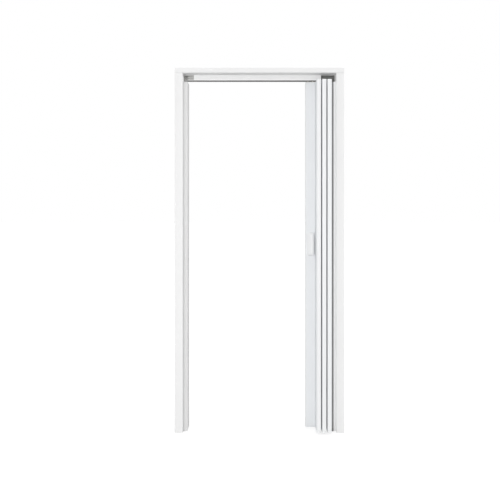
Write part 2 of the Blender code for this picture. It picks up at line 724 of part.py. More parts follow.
def make_handle_body(name, face, plastic):
    """Swelling shell with a flat back on the panel. Face is -1 for the front and 1 for the back."""
    bm = bmesh.new()
    base_y = face * (LEAD_THICKNESS / 2 + FIT)
    tops, feet = [], []
    for z in handle_rows():
        inset = handle_inset(z)
        top_row, foot_row = [], []
        for i in range(HANDLE_COLUMNS + 1):
            x = inset + (HANDLE_WIDTH - 2 * inset) * i / HANDLE_COLUMNS
            swell = HANDLE_EDGE + (handle_height(x) - HANDLE_EDGE) * handle_end_share(z)
            top_row.append(bm.verts.new((x, base_y + face * swell, z)))
            foot_row.append(bm.verts.new((x, base_y, z)))
        tops.append(top_row)
        feet.append(foot_row)
    last = len(tops) - 1
    for grid in (tops, feet):
        for low, high in zip(grid, grid[1:]):
            for i in range(HANDLE_COLUMNS):
                bm.faces.new((low[i], low[i + 1], high[i + 1], high[i]))
    for row in range(last):
        for column in (0, HANDLE_COLUMNS):
            corners = (tops[row][column], tops[row + 1][column], feet[row + 1][column], feet[row][column])
            bm.faces.new(corners)
    for row in (0, last):
        for i in range(HANDLE_COLUMNS):
            bm.faces.new((tops[row][i], tops[row][i + 1], feet[row][i + 1], feet[row][i]))
    bmesh.ops.dissolve_limit(bm, angle_limit=math.radians(FLAT_DEGREES), verts=bm.verts, edges=bm.edges)
    return place_mesh(bm, name, plastic)


def make_finger_recess(name, face):
    """Pocket under the shell, open on the handle's right edge."""
    base = LEAD_THICKNESS / 2 + FIT
    start = HANDLE_WIDTH - RECESS_WIDTH
    end = HANDLE_WIDTH + OVERRUN
    floor = base + RECESS_FLOOR
    corners = [(start, floor), (end, floor), (end, base + HANDLE_PROUD - HANDLE_SHELL)]
    corners += [(HANDLE_CREST, base + HANDLE_PROUD - HANDLE_SHELL)]
    corners += [(start, base + handle_height(start) - HANDLE_SHELL)]
    outline = [(a, face * b) for a, b in corners]
    half_height = HANDLE_HEIGHT / 2 - RECESS_END_SETBACK
    return extruded(name, [outline], -half_height, half_height, "Z", None)


def handle_screw_profile(run, grow, head_overrun):
    """Flat head below 0 and a shank up to the run. Its hole is the same shape, grown."""
    radius = HANDLE_SCREW_RADIUS + grow
    head = HANDLE_SCREW_HEAD_RADIUS + grow
    face = -HANDLE_SCREW_HEAD - head_overrun
    return [(0, face), (head, face), (head, grow), (radius, grow), (radius, run + grow), (0, run + grow)]


def make_handles(plastic, steel, lead):
    place = (HANDLE_SETBACK - LEAD_WIDTH, 0, HANDLE_CENTRE_HEIGHT)
    handles = {}
    for name, face in (("front_handle", -1), ("back_handle", 1)):
        handle = make_handle_body(name, face, plastic)
        handle.parent = lead
        handle.location = place
        recess = make_finger_recess(name + " finger recess", face)
        recess.parent = handle
        cut(handle, recess)
        handles[face] = handle
    chamber = lead_chambers()[1]
    middle_x = (chamber[0] + chamber[2]) / 2
    seat_y = LEAD_THICKNESS / 2 + FIT + HANDLE_SCREW_SEAT
    run = seat_y + LEAD_THICKNESS / 2 + FIT + HANDLE_SCREW_BITE
    to_screw = HANDLE_HEIGHT / 2 - HANDLE_SCREW_SETBACK
    for label, way in (("lower", -1), ("upper", 1)):
        spot = (middle_x, seat_y, HANDLE_CENTRE_HEIGHT + way * to_screw)
        screw = turned(f"{label}_handle_screw", handle_screw_profile(run, 0, 0), SCREW_STEPS, steel, spot)
        hole_profile = handle_screw_profile(run, FIT, HANDLE_PROUD)
        hole = turned(f"{label} handle screw hole", hole_profile, SCREW_STEPS, None, spot)
        for piece in (screw, hole):
            piece.rotation_euler.x = RIGHT_ANGLE
            piece.parent = lead
        for piece in (handles[1], lead, handles[-1]):
            cut(piece, hole)


def main():
    clear_scene()
    paint = finish("white lacquered wood", (0.86, 0.86, 0.86), 0.35)
    slat_plastic = finish("white pvc slat", (0.83, 0.84, 0.85), 0.38)
    link_plastic = finish("white flexible pvc hinge", (0.86, 0.87, 0.88), 0.30)
    profile_plastic = finish("white pvc profile", (0.82, 0.82, 0.83), 0.36)
    runner_plastic = finish("natural nylon", (0.80, 0.80, 0.76), 0.45)
    seal_rubber = finish("soft white seal", (0.72, 0.72, 0.72), 0.70)
    steel = finish("zinc plated steel", (0.62, 0.63, 0.64), 0.30, 1.0)
    head, jambs = make_linings(paint)
    make_architraves(paint)
    track = make_track(profile_plastic)
    profiles = make_jamb_profiles(profile_plastic)
    make_screws(steel, track, head, profiles, jambs)
    make_wall_strip(link_plastic)
    make_door_chain(slat_plastic, link_plastic, runner_plastic)
    lead = make_lead_panel(slat_plastic, seal_rubber, runner_plastic)
    make_handles(slat_plastic, steel, lead)


main()
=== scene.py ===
# %% [markdown]
# A folding door of hollow white plastic slats, folded back to the right of its lined opening. The frame
# holds every solid at its true size, so each piece below starts from a node's mesh or from its box.
# This file rounds the arrises, models what is moulded or turned, and gives each piece its finish.

# %% Load the frame
import json
import math

import bmesh
import bpy
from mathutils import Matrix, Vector

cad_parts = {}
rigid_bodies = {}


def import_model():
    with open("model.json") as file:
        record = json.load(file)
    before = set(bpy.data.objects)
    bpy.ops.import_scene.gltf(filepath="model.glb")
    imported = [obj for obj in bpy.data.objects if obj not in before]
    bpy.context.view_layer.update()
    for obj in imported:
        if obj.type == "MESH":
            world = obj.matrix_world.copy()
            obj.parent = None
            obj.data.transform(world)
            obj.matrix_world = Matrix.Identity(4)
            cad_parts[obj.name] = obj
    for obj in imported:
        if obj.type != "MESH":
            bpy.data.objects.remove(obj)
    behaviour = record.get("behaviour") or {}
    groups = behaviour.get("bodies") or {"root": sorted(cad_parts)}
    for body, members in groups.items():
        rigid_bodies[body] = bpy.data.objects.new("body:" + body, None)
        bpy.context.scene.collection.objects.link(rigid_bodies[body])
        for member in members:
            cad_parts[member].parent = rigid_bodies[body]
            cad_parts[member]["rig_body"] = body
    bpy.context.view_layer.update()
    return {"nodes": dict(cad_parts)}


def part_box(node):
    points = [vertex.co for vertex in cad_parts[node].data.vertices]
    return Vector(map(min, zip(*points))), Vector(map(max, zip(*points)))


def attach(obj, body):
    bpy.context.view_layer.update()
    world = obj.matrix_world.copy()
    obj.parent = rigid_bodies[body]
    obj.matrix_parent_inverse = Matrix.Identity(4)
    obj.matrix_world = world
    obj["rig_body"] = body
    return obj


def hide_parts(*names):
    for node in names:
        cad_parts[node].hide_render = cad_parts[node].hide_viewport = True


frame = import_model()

MM = 0.001

# %% [markdown]
# An operator acts on all that is selected, and loading leaves the nodes selected. So the helpers for
# selecting come first: one that selects a piece alone, and one that selects its faces, edges or corners
# by place or by normal. Picking by place, and not by index, still works when a size changes.

# %% Selecting
SAME_PLACE = 0.05 * MM
# How much of a unit normal points along an axis, on a face that counts as square to it
SQUARE = 0.99


def only(piece):
    """Selects one piece and makes it the active one."""
    bpy.ops.object.select_all(action="DESELECT")
    piece.select_set(True)
    bpy.context.view_layer.objects.active = piece


def pick(piece, kind, test):
    """In edit mode, selects each VERT, EDGE or FACE whose middle and normal pass a test."""
    bpy.ops.mesh.select_mode(type=kind)
    bpy.ops.mesh.select_all(action="DESELECT")
    mesh = bmesh.from_edit_mesh(piece.data)
    if kind == "VERT":
        found = [vert for vert in mesh.verts if test(vert.co, vert.normal)]
    elif kind == "EDGE":
        found = [edge for edge in mesh.edges if test((edge.verts[0].co + edge.verts[1].co) / 2, edge)]
    else:
        found = [face for face in mesh.faces if test(face.calc_center_median(), face.normal)]
    for item in found:
        item.select_set(True)
    mesh.select_flush_mode()
    bmesh.update_edit_mesh(piece.data)
    return len(found)


def near(value, wanted):
    """Whether a coordinate lies where it is wanted."""
    return abs(value - wanted) < SAME_PLACE


def apply_all(piece):
    """Applies every modifier, in order, and leaves the piece's place in its mesh."""
    only(piece)
    for modifier in list(piece.modifiers):
        bpy.ops.object.modifier_apply(modifier=modifier.name)
    bpy.ops.object.transform_apply(location=True, rotation=True, scale=True)
    print(piece.name, "has", len(piece.data.polygons), "faces")


# %% [markdown]
# Every finish here is one Principled shader. Its colours are written as they would be picked on a
# screen, in hex, and one function turns them into the linear light that the shader wants. What never
# varies over a surface is set on the shader itself. What varies comes in through nodes: a pattern mixes
# two tones, moves the gloss between two ends, and raises the surface up to a real depth.

# %% Colours and nodes
def linear(code):
    """An sRGB hex colour as linear red, green, blue and alpha."""
    shares = [int(code[i : i + 2], 16) / 255 for i in (1, 3, 5)]
    lit = [c / 12.92 if c <= 0.04045 else ((c + 0.055) / 1.055) ** 2.4 for c in shares]
    return (*lit, 1.0)


def node(tree, kind, inputs=None, **settings):
    """Adds one node. An input takes a value, or the output of another node as a link."""
    new = tree.nodes.new(kind)
    for name, value in settings.items():
        setattr(new, name, value)
    for socket, value in (inputs or {}).items():
        if isinstance(value, bpy.types.NodeSocket):
            tree.links.new(value, new.inputs[socket])
        else:
            new.inputs[socket].default_value = value
    return new


def start_material(name, **constants):
    """A material with constants on its shader, its node tree and the object's own coordinates."""
    material = bpy.data.materials.new(name)
    material.use_nodes = True
    tree = material.node_tree
    for socket, value in constants.items():
        tree.nodes["Principled BSDF"].inputs[socket.replace("_", " ")].default_value = value
    return material, tree, node(tree, "ShaderNodeTexCoord").outputs["Object"]


def draw_finish(tree, grain, tones, gloss, depth=0, drift=None):
    """Lets a grain move the gloss and the relief. It mixes the tones too, where no drift does."""
    shader = tree.nodes["Principled BSDF"].inputs
    ends = {"Factor": grain if drift is None else drift, 6: linear(tones[0]), 7: linear(tones[1])}
    mix = node(tree, "ShaderNodeMix", ends, data_type="RGBA")
    tree.links.new(mix.outputs[2], shader["Base Color"])
    ends = {"Value": grain, "To Min": gloss[0], "To Max": gloss[1]}
    spread = node(tree, "ShaderNodeMapRange", ends)
    tree.links.new(spread.outputs[0], shader["Roughness"])
    if depth:
        relief = node(tree, "ShaderNodeBump", {"Height": grain, "Distance": depth, "Strength": 1.0})
        tree.links.new(relief.outputs[0], shader["Normal"])


# %% [markdown]
# The lining boards and architraves are wood fibre board under white acrylic lacquer. A short-nap roller
# leaves a soft stipple, like fine orange peel, which breaks up the gloss, and the film's colour drifts a
# little over a board. So a fine noise makes the stipple and a coarse one the drift.

# %% White lacquer
STIPPLE = 1.6 * MM
STIPPLE_DEPTH = 0.02 * MM
LACQUER_DRIFT = 180 * MM


def white_lacquer():
    material, tree, place = start_material("white_lacquer", IOR=1.49)
    stipple = node(tree, "ShaderNodeTexNoise", {"Vector": place, "Scale": 1 / STIPPLE, "Detail": 2.0})
    drift = node(tree, "ShaderNodeTexNoise", {"Vector": place, "Scale": 1 / LACQUER_DRIFT, "Detail": 3.0})
    tones = ("#F3F3F3", "#EFEFEF")
    draw_finish(tree, stipple.outputs["Fac"], tones, (0.52, 0.62), STIPPLE_DEPTH, drift.outputs["Fac"])
    return material


LACQUER = white_lacquer()
print("Finish:", LACQUER.name)

# %% [markdown]
# The slats, the lead panel, the track and the jamb profiles are rigid PVC, pushed through a die. The die
# draws faint lines along the length, and where it cools unevenly the gloss changes from line to line.
# Stretching a noise along the extrusion gives both. The real lines are about 0.3 mm apart, too fine to
# show, so they are drawn 2.5 mm apart. The track runs along X and the rest along Z.

# %% Extruded rigid PVC
DIE_LINE = 2.5 * MM
DIE_LINE_LENGTH = 900 * MM
DIE_LINE_DEPTH = 0.012 * MM


def extruded_pvc(name, along, light, dark):
    """Rigid PVC whose die lines run along X or Z."""
    material, tree, place = start_material(name, IOR=1.53)
    pace = [1 / DIE_LINE] * 3
    pace["XYZ".index(along)] = 1 / DIE_LINE_LENGTH
    drawn = node(tree, "ShaderNodeMapping", {"Vector": place, "Scale": pace})
    lines = node(tree, "ShaderNodeTexNoise", {"Vector": drawn.outputs[0], "Scale": 1.0, "Detail": 3.0})
    draw_finish(tree, lines.outputs["Fac"], (light, dark), (0.50, 0.60), DIE_LINE_DEPTH)
    return material


SLAT_PVC = extruded_pvc("extruded_pvc_slat", "Z", "#EFF1F3", "#EAECEE")
# The strike profile's tones are painted shade: greyer than the white PVC, for the shade it stands in
# beside the left lining.
STRIKE_PVC_PAINTED_SHADE = extruded_pvc("extruded_pvc_strike_painted_shade", "Z", "#E1E1E1", "#DBDBDB")
# The wall profile's and the track's tones are painted light: whiter than the PVC, to lift faces that stand
# in shade beside the folds and under the head lining. Both also take painted shade below.
WALL_PVC_PAINTED_LIGHT_AND_SHADE = extruded_pvc("extruded_pvc_wall_painted_light_and_shade", "Z", "#F6F6F6", "#F1F1F1")
TRACK_PVC_PAINTED_LIGHT_AND_SHADE = extruded_pvc("extruded_pvc_track_painted_light_and_shade", "X", "#FAFAFA", "#F6F6F6")
print("Finishes:", SLAT_PVC.name, STRIKE_PVC_PAINTED_SHADE.name, WALL_PVC_PAINTED_LIGHT_AND_SHADE.name, TRACK_PVC_PAINTED_LIGHT_AND_SHADE.name)

# %% [markdown]
# The track and the wall profile carry painted shade. Inside the track and along its underside, where
# little light reaches, grey is painted for the shade. It is deepest at the right, where the folded door
# stands in front of the track. On the wall profile, grey is painted for the shadow that the first fold
# casts beside it. The faces that show from the front keep their white. A grey could be painted on the
# faces one by one, but a rule by place is shorter and has a soft edge. So grey is laid over the white
# from an axis's zero out to a set distance, and it deepens to the right.

# %% Painted shade on the track and the wall profile
SHADE_FADE = 0.75 * MM
SHADE_PATCH = 60 * MM
SHADE_WANDER = 100 * MM
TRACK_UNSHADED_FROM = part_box("top_track")[1].y - SHADE_FADE
TRACK_FOOT = 1.25 * MM
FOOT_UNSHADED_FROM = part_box("top_track")[0].z + TRACK_FOOT
WALL_SHADE_WIDTH = 12.3 * MM
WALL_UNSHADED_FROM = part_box("wall_profile")[0].x + WALL_SHADE_WIDTH
HALF_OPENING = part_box("right_jamb_lining")[0].x


def paint_shade(material, axis, unshaded_from, left_grey, right_grey):
    """Lays painted shade, a grey, over a finish from an axis's zero out to where the finish shows again.
    """
    tree = material.node_tree
    colour = tree.nodes["Principled BSDF"].inputs["Base Color"]
    place = node(tree, "ShaderNodeTexCoord").outputs["Object"]
    apart = node(tree, "ShaderNodeSeparateXYZ", {"Vector": place}).outputs
    # The painted shade deepens along X, and a noise moves that to and fro so that it looks uneven
    patch = node(tree, "ShaderNodeTexNoise", {"Vector": place, "Scale": 1 / SHADE_PATCH, "Detail": 3.0})
    ends = {"Value": patch.outputs["Fac"], "To Min": -SHADE_WANDER, "To Max": SHADE_WANDER}
    wander = node(tree, "ShaderNodeMapRange", ends)
    along = node(tree, "ShaderNodeMath", {0: apart["X"], 1: wander.outputs[0]}, operation="ADD")
    ends = {"Value": along.outputs[0], "From Min": -HALF_OPENING, "From Max": HALF_OPENING}
    run = node(tree, "ShaderNodeMapRange", ends)
    tones = {"Factor": run.outputs[0], 6: linear(left_grey), 7: linear(right_grey)}
    grey = node(tree, "ShaderNodeMix", tones, data_type="RGBA")
    # The finish that was there comes back over a short fade
    away = node(tree, "ShaderNodeMath", {0: apart[axis]}, operation="ABSOLUTE")
    ends = {"Value": away.outputs[0], "From Min": unshaded_from - SHADE_FADE, "From Max": unshaded_from}
    unshaded = node(tree, "ShaderNodeMapRange", ends)
    layers = {"Factor": unshaded.outputs[0], 6: grey.outputs[2], 7: colour.links[0].from_socket}
    shaded = node(tree, "ShaderNodeMix", layers, data_type="RGBA")
    tree.links.new(shaded.outputs[2], colour)


# Painted shade: grey inside the track and on its underside, darker to the right, and on the wall profile
# beside the first fold.
paint_shade(TRACK_PVC_PAINTED_LIGHT_AND_SHADE, "Y", TRACK_UNSHADED_FROM, "#DEDEDC", "#868684")
paint_shade(TRACK_PVC_PAINTED_LIGHT_AND_SHADE, "Z", FOOT_UNSHADED_FROM, "#626260", "#4A4A48")
paint_shade(WALL_PVC_PAINTED_LIGHT_AND_SHADE, "X", WALL_UNSHADED_FROM, "#9C9C9C", "#909090")
print("Painted_shade_on:", TRACK_PVC_PAINTED_LIGHT_AND_SHADE.name, WALL_PVC_PAINTED_LIGHT_AND_SHADE.name)

# %% [markdown]
# The hinge strips are plasticised PVC, soft enough for their sockets to snap over the slats' beads. It
# leaves the die smoother and whiter than the rigid slats, a little glossier and with hardly any lines.

# %% Flexible PVC
FLOW = 12 * MM
FLOW_LENGTH = 500 * MM
FLOW_DEPTH = 0.01 * MM


def flexible_pvc():
    material, tree, place = start_material("flexible_pvc", IOR=1.52)
    pace = (1 / FLOW, 1 / FLOW, 1 / FLOW_LENGTH)
    drawn = node(tree, "ShaderNodeMapping", {"Vector": place, "Scale": pace})
    flow = node(tree, "ShaderNodeTexNoise", {"Vector": drawn.outputs[0], "Scale": 1.0, "Detail": 2.0})
    draw_finish(tree, flow.outputs["Fac"], ("#F6F7F8", "#F3F4F5"), (0.44, 0.52), FLOW_DEPTH)
    return material


HINGE_PVC = flexible_pvc()
print("Finish:", HINGE_PVC.name)

# %% [markdown]
# The pulls are ABS, moulded in a tool whose steel was spark eroded. That prints a fine, even grain on
# the plastic, about 0.15 mm across. It is drawn at 0.5 mm so that it shows as a soft sheen.

# %% Spark-grained ABS
SPARK_GRAIN = 0.5 * MM
SPARK_DEPTH = 0.012 * MM


def moulded_abs():
    material, tree, place = start_material("spark_grained_abs", IOR=1.54)
    grain = node(tree, "ShaderNodeTexNoise", {"Vector": place, "Scale": 1 / SPARK_GRAIN, "Detail": 1.0})
    draw_finish(tree, grain.outputs["Fac"], ("#ECEDEE", "#E7E8E9"), (0.38, 0.48), SPARK_DEPTH)
    return material


PULL_ABS = moulded_abs()
print("Finish:", PULL_ABS.name)

# %% [markdown]
# The runners are natural nylon, unpigmented, so light goes a little way in and comes out warm. The
# thermoplastic rubber of the edge seal is matt and takes a slightly greyer white. Each is small, so one
# mottled noise is enough for it.

# %% Nylon and rubber
NYLON_MOTTLE = 4 * MM
RUBBER_GRAIN = 1.2 * MM
RUBBER_DEPTH = 0.03 * MM
# How deep light goes into the nylon, and how much of that depth its red, green and blue reach
NYLON_DEPTH_OF_LIGHT = 2 * MM
NYLON_REACH_SHARES = (1.0, 0.9, 0.7)


def natural_nylon():
    material, tree, place = start_material(
        "natural_nylon",
        IOR=1.53,
        Subsurface_Weight=0.25,
        Subsurface_Radius=NYLON_REACH_SHARES,
        Subsurface_Scale=NYLON_DEPTH_OF_LIGHT,
    )
    mottle = node(tree, "ShaderNodeTexNoise", {"Vector": place, "Scale": 1 / NYLON_MOTTLE, "Detail": 3.0})
    draw_finish(tree, mottle.outputs["Fac"], ("#EDEBE3", "#E4E2D8"), (0.38, 0.50))
    return material


def seal_rubber():
    material, tree, place = start_material("seal_rubber", IOR=1.50)
    grain = node(tree, "ShaderNodeTexNoise", {"Vector": place, "Scale": 1 / RUBBER_GRAIN, "Detail": 2.0})
    draw_finish(tree, grain.outputs["Fac"], ("#E6E7E6", "#DFE0DF"), (0.62, 0.72), RUBBER_DEPTH)
    return material


RUNNER_NYLON = natural_nylon()
SEAL_RUBBER = seal_rubber()
print("Finishes:", RUNNER_NYLON.name, SEAL_RUBBER.name)

# %% [markdown]
# The screws are steel with a clear-passivated zinc plating. It is a bright grey metal whose gloss clouds
# where the plating grew thicker, with a faint blue cast. A metal's colour is its base colour, and its
# refractive index stays at the default.

# %% Zinc plated steel
PLATING_CLOUD = 1.5 * MM


def zinc_plate():
    material, tree, place = start_material("zinc_plated_steel", Metallic=1.0)
    cloud = node(tree, "ShaderNodeTexNoise", {"Vector": place, "Scale": 1 / PLATING_CLOUD, "Detail": 4.0})
    draw_finish(tree, cloud.outputs["Fac"], ("#D2D5D9", "#C0C3C7"), (0.22, 0.38))
    return material


ZINC = zinc_plate()
print("Finish:", ZINC.name)

# %% [markdown]
# Boards and extrusions have the right shape in the frame, with knife-sharp arrises that no real piece
# has. A copy of each is welded, its flat triangles are dissolved into whole faces, and a narrow bevel
# rounds the arrises: about 0.6 mm on a sanded board, 0.25 mm on a cut extrusion. A subdivision surface
# would round them too, but it would also pull the flats out of shape. Hardened normals keep the flats
# flat. The copy then stands for its node.

# %% Softening the arrises
WELD = 0.02 * MM
STILL_FLAT = math.radians(1)
SHARP = math.radians(40)


def stand_for(piece, material, slot, *names):
    """Gives a finished piece its material, and lets it ride and stand for its nodes."""
    piece.data.materials.clear()
    piece.data.materials.append(material)
    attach(piece, frame["nodes"][names[0]]["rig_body"])
    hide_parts(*names)


def copy_of(mesh, name):
    """A new piece with a mesh of its own."""
    piece = bpy.data.objects.new(name, mesh.copy())
    bpy.context.scene.collection.objects.link(piece)
    only(piece)
    return piece


def soften(name, radius, material, slot):
    """A copy of a node's mesh with rounded arrises."""
    piece = copy_of(frame["nodes"][name].data, name + "_finished")
    bpy.ops.mesh.customdata_custom_splitnormals_clear()
    bpy.ops.object.mode_set(mode="EDIT")
    bpy.ops.mesh.select_all(action="SELECT")
    bpy.ops.mesh.remove_doubles(threshold=WELD)
    bpy.ops.mesh.dissolve_limited(angle_limit=STILL_FLAT)
    bpy.ops.object.mode_set(mode="OBJECT")
    bpy.ops.object.shade_smooth_by_angle(angle=SHARP)
    arris = piece.modifiers.new("soft arris", "BEVEL")
    arris.width = radius
    arris.segments = 2
    arris.limit_method = "ANGLE"
    arris.angle_limit = SHARP
    arris.harden_normals = True
    apply_all(piece)
    stand_for(piece, material, slot, name)
    return piece


# %% [markdown]
# Three lining boards and six architraves go round the opening. Each is sanded along its edges before it
# is lacquered. Their names end alike, so a loop finds them all.

# %% Boards round the opening
BOARD_ARRIS = 0.6 * MM

for name in sorted(frame["nodes"]):
    if name.endswith(("_lining", "_architrave")):
        soften(name, BOARD_ARRIS, LACQUER, "frame_paint")

# %% [markdown]
# The track, the strike profile and the wall profile are cut from long extrusions. The saw leaves a
# narrow burr that is broken with a file, so their arrises are much tighter than the boards'.

# %% Track and jamb profiles
CUT_ARRIS = 0.25 * MM

track = soften("top_track", CUT_ARRIS, TRACK_PVC_PAINTED_LIGHT_AND_SHADE, "profile_plastic")
soften("strike_profile", CUT_ARRIS, STRIKE_PVC_PAINTED_SHADE, "profile_plastic")
soften("wall_profile", CUT_ARRIS, WALL_PVC_PAINTED_LIGHT_AND_SHADE, "profile_plastic")

# %% [markdown]
# The runners are dropped into the track through a window at each end. The photograph's right window is
# longer than the solid's, which is as long as the left one. A new cut could lengthen it, but the track
# is the same all along there, so the window's inner end only has to slide along it.

# %% The right loading window
WINDOW_LENGTH = 57.7 * MM
WINDOW_LONGER = 23 * MM


def lengthen_window(piece):
    """Slides the inner end of the right window, with its rounded arrises, to the left."""
    inner_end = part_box("top_track")[1].x - WINDOW_LENGTH
    only(piece)
    bpy.ops.object.mode_set(mode="EDIT")
    moved = pick(piece, "VERT", lambda place, _: abs(place.x - inner_end) < 2 * CUT_ARRIS)
    bpy.ops.transform.translate(value=(-WINDOW_LONGER, 0, 0))
    bpy.ops.object.mode_set(mode="OBJECT")
    print("Corners of the window's end:", moved)


lengthen_window(track)

# %% [markdown]
# The slats and the lead panel are hollow, with webs inside, and the bottom cap has plugs that fit the
# panel's chambers. All of that is in the frame already, so they only take softer arrises and the slats'
# finish. Their names have no ending in common, so they are listed.

# %% Slats and lead panel
SLAT_NAMES = [f"slat_{number}" for number in range(1, 7)]

for name in SLAT_NAMES + ["lead_panel", "lead_bottom_cap"]:
    soften(name, CUT_ARRIS, SLAT_PVC, "slat_plastic")

# %% [markdown]
# A hinge strip's sockets have walls of about a millimetre, and the seal on the lead panel's edge is small
# too. So these pieces are softened less than the slats, or the bevel would eat into the sockets' lips.

# %% Hinge strips and edge seal
HINGE_NAMES = [f"hinge_link_{number}" for number in range(1, 6)] + ["wall_strip"]
HINGE_ARRIS = 0.15 * MM

for name in HINGE_NAMES:
    soften(name, HINGE_ARRIS, HINGE_PVC, "hinge_plastic")
soften("lead_edge_seal", HINGE_ARRIS, SEAL_RUBBER, "seal_rubber")

# %% [markdown]
# What is moulded or turned is modelled afresh, from primitives. Most of these pieces need a block, and
# have solids joined to them or cut out of them, so there is a helper for each of the two. The exact
# solver is used throughout, since it copes with faces that lie in one plane.

# %% Solids that join or cut
def join_solids(piece, other, operation):
    """Unites a piece with another solid, or cuts the solid out of it, and removes the solid."""
    tool = piece.modifiers.new("solid", "BOOLEAN")
    tool.operation = operation
    tool.solver = "EXACT"
    tool.object = other
    only(piece)
    bpy.ops.object.modifier_apply(modifier=tool.name)
    bpy.data.objects.remove(other)


def add_block(size, middle):
    """A cube primitive at its size and place, left in edit mode."""
    bpy.ops.mesh.primitive_cube_add(size=1, location=middle)
    piece = bpy.context.active_object
    piece.scale = size
    only(piece)
    bpy.ops.object.transform_apply(location=True, rotation=True, scale=True)
    bpy.ops.object.mode_set(mode="EDIT")
    return piece


# %% [markdown]
# The front pull is a thin moulded shell. It lies low against the panel at its left, swells up towards
# the right and rolls over there, and fingers reach under its right edge into a pocket. Its outline is a
# tall rectangle with rounded corners. A cube of its size is cut into a coarse cage by bisections, the
# cage is raised and lowered column by column, and a subdivision surface makes the swelling form. The
# flat back is creased, so that it stays sharp where it meets the panel.

# %% The front pull's cage
PULL_LOW, PULL_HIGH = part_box("front_handle")
PULL_SIZE = PULL_HIGH - PULL_LOW
PULL_MIDDLE = (PULL_LOW + PULL_HIGH) / 2
# Each column's distance from the left edge, and how far the cage stands off the panel there
CAGE_COLUMNS = [(0, 1.8 * MM), (10 * MM, 6.2 * MM), (20 * MM, 12.0 * MM), (29 * MM, 14.2 * MM)]
CAGE_COLUMNS += [(36 * MM, 14.1 * MM), (PULL_SIZE.x, 12.0 * MM)]
END_ROW = 11 * MM
POCKET_ROWS = (46 * MM, 40 * MM, 14 * MM)
END_STAND_OFF_SHARE = 0.35
CORNER_PULL_IN = 2.5 * MM


def shift(way):
    """Moves what is selected."""
    bpy.ops.transform.translate(value=way)


def cut_cage(place, normal):
    """Cuts the whole cage by a plane and keeps both sides."""
    bpy.ops.mesh.select_all(action="SELECT")
    bpy.ops.mesh.bisect(plane_co=place, plane_no=normal)


def pull_cage():
    piece = add_block(PULL_SIZE, PULL_MIDDLE)
    piece.name = "front_pull"
    for across, _ in CAGE_COLUMNS[1:-1]:
        cut_cage((PULL_LOW.x + across, 0, 0), (1, 0, 0))
    for reach in (PULL_SIZE.z / 2 - END_ROW, *POCKET_ROWS):
        cut_cage((0, 0, PULL_MIDDLE.z - reach), (0, 0, 1))
        cut_cage((0, 0, PULL_MIDDLE.z + reach), (0, 0, 1))
    return piece


front_pull = pull_cage()
print("Cage faces:", len(bmesh.from_edit_mesh(front_pull.data).faces))

# %% [markdown]
# The cage's front corners start in one plane. Each column is moved to its own stand-off, the two ends
# are flattened towards the panel, and the four corners of the outline are drawn in to round it.

# %% Shaping the front pull
PANEL_Y = PULL_HIGH.y


def shape_cage(piece):
    front_y = PULL_LOW.y
    for across, stand_off in CAGE_COLUMNS:
        column_x = PULL_LOW.x + across
        pick(piece, "VERT", lambda place, _: near(place.x, column_x) and near(place.y, front_y))
        shift((0, PANEL_Y - stand_off - front_y, 0))
    for end_z in (PULL_LOW.z, PULL_HIGH.z):
        pick(piece, "VERT", lambda place, _: near(place.z, end_z) and not near(place.y, PANEL_Y))
        squeeze = (1, END_STAND_OFF_SHARE, 1)
        bpy.ops.transform.resize(value=squeeze, center_override=(PULL_MIDDLE.x, PANEL_Y, end_z))
        inward = CORNER_PULL_IN if end_z == PULL_LOW.z else -CORNER_PULL_IN
        for side_x, way in ((PULL_LOW.x, CORNER_PULL_IN), (PULL_HIGH.x, -CORNER_PULL_IN)):
            pick(piece, "VERT", lambda place, _: near(place.z, end_z) and near(place.x, side_x))
            shift((way, 0, inward))


shape_cage(front_pull)
print("Cage corners:", len(bmesh.from_edit_mesh(front_pull.data).verts))

# %% [markdown]
# The finger pocket is an inset in the cage's right side, pushed back under the shell in two steps. The
# inset's width is the shell's wall. The first step is short and keeps the pocket's mouth crisp.

# %% The finger pocket
SHELL_WALL = 2.2 * MM
POCKET_LIP = 1.5 * MM
POCKET_DEPTH = 22 * MM
POCKET_TAPER_SHARE = 0.72


def press_pocket(piece):
    def in_pocket(place, normal):
        return near(place.x, PULL_HIGH.x) and abs(place.z - PULL_MIDDLE.z) < POCKET_ROWS[0]

    pick(piece, "FACE", in_pocket)
    bpy.ops.mesh.inset(thickness=SHELL_WALL, depth=0)
    bpy.ops.mesh.extrude_region_move(TRANSFORM_OT_translate={"value": (-POCKET_LIP, 0, 0)})
    deeper = POCKET_DEPTH - POCKET_LIP
    bpy.ops.mesh.extrude_region_move(TRANSFORM_OT_translate={"value": (-deeper, 0, 0)})
    floor_y = PANEL_Y - SHELL_WALL
    end = (PULL_HIGH.x - POCKET_DEPTH, floor_y, PULL_MIDDLE.z)
    bpy.ops.transform.resize(value=(1, POCKET_TAPER_SHARE, 1), center_override=end)


press_pocket(front_pull)
print("Pocket:", round(POCKET_DEPTH / MM), "mm deep")

# %% [markdown]
# Three levels of subdivision turn the cage into a smooth swell. Without a crease they would round the
# rim of the flat back as well, and the pull would touch the panel only in its middle.

# %% Smoothing the pull
PULL_SMOOTHING = 3


def on_rim(edge):
    """The rim is where the flat back meets the sides."""
    flat = [face for face in edge.link_faces if all(near(vert.co.y, PANEL_Y) for vert in face.verts)]
    return len(flat) == 1


def smooth_pull(piece):
    pick(piece, "EDGE", lambda place, edge: on_rim(edge))
    bpy.ops.transform.edge_crease(value=1)
    bpy.ops.object.mode_set(mode="OBJECT")
    swell = piece.modifiers.new("swelling form", "SUBSURF")
    swell.levels = PULL_SMOOTHING
    swell.render_levels = PULL_SMOOTHING
    apply_all(piece)
    bpy.ops.object.shade_smooth_by_angle(angle=SHARP)


smooth_pull(front_pull)
stand_for(front_pull, PULL_ABS, "handle_plastic", "front_handle")

